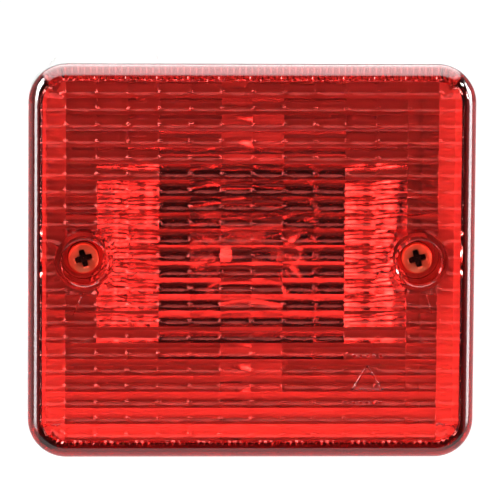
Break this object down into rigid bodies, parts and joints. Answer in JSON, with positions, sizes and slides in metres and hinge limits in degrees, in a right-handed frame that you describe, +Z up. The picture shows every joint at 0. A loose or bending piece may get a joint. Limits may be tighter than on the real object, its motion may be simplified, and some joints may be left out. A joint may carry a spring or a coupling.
{
  "type": "rear fog lamp",
  "caption": "Square vehicle rear fog lamp with a red moulded lens, screw wells, a white housing, a reflector and a bayonet bulb.",
  "frame": {"origin": "centre of the rear mounting face, on the terminal cover that lies flush in it", "axes": "+X to the right seen from the front, +Y out of the rear face into what holds the lamp, +Z up; the lens faces -Y"},
  "size_m": [0.1016, 0.064, 0.09],
  "materials": {
    "red_lens": "clear red acrylic, polished",
    "white_housing": "moulded white plastic, fine satin",
    "black_rubber": "matt rubber",
    "reflector_mirror": "vacuum metallised",
    "screw_steel": "bright zinc plate",
    "nickel_brass": "nickel-plated brass",
    "plain_brass": "plain turned brass",
    "bulb_glass": "clear blown glass",
    "tungsten": "drawn wire",
    "brown_board": "pressed phenolic board",
    "grey_plastic": "moulded"
  },
  "bodies": {
    "base": {"base_housing": "white_housing", "lens_gasket": "black_rubber", "vent_plug": "grey_plastic", "mount_insert_left": "plain_brass", "mount_insert_right": "plain_brass", "terminal_cover": "white_housing", "cable_grommet": "black_rubber", "reflector": "reflector_mirror", "reflector_screw_upper": "screw_steel", "reflector_screw_lower": "screw_steel", "bulb_socket": "screw_steel", "socket_bracket": "screw_steel", "socket_rivet_left": "nickel_brass", "socket_rivet_right": "nickel_brass", "contact_disc": "brown_board", "contact_spring": "screw_steel", "live_terminal": "nickel_brass", "earth_terminal": "nickel_brass"},
    "lens": {"lens": "red_lens"},
    "screw_seal_left": {"screw_seal_left": "black_rubber"},
    "lens_screw_left": {"lens_screw_left": "screw_steel"},
    "screw_seal_right": {"screw_seal_right": "black_rubber"},
    "lens_screw_right": {"lens_screw_right": "screw_steel"},
    "contact_plunger": {"contact_plunger": "nickel_brass"},
    "bulb": {"bulb_cap": "nickel_brass", "bulb_solder_contact": "screw_steel", "bulb_glass": "bulb_glass", "bulb_stem": "bulb_glass", "bulb_filament": "tungsten", "bulb_support_left": "tungsten", "bulb_support_right": "tungsten"}
  },
  "joints": [
    {"name": "lens_lift", "type": "slide", "parent": "base", "child": "lens", "axis": [0, -1, 0], "range_m": [0, 0.07]},
    {"name": "screw_rise_left", "type": "slide", "parent": "lens", "child": "screw_seal_left", "axis": [0, -1, 0], "range_m": [0, 0.0117]},
    {"name": "screw_turn_left", "type": "hinge", "parent": "screw_seal_left", "child": "lens_screw_left", "pos_m": [-0.0381, -0.05, 0], "axis": [0, -1, 0], "range_deg": [0, 3240]},
    {"name": "screw_rise_right", "type": "slide", "parent": "lens", "child": "screw_seal_right", "axis": [0, -1, 0], "range_m": [0, 0.0117]},
    {"name": "screw_turn_right", "type": "hinge", "parent": "screw_seal_right", "child": "lens_screw_right", "pos_m": [0.0381, -0.05, 0], "axis": [0, -1, 0], "range_deg": [0, 3240]},
    {"name": "contact_press", "type": "slide", "parent": "base", "child": "contact_plunger", "axis": [0, 1, 0], "range_m": [0, 0.002], "stiffness_N_per_m": 1500, "springref_m": -0.002, "deforming": ["contact_spring"]},
    {"name": "bulb_turn", "type": "hinge", "parent": "contact_plunger", "child": "bulb", "pos_m": [0, -0.0193, 0], "axis": [0, -1, 0], "range_deg": [0, 18]}
  ],
  "couplings": [
    {"joint": "screw_turn_left", "follows": "screw_rise_left", "rad_per_m": 4833.2},
    {"joint": "screw_turn_right", "follows": "screw_rise_right", "rad_per_m": 4833.2}
  ]
}
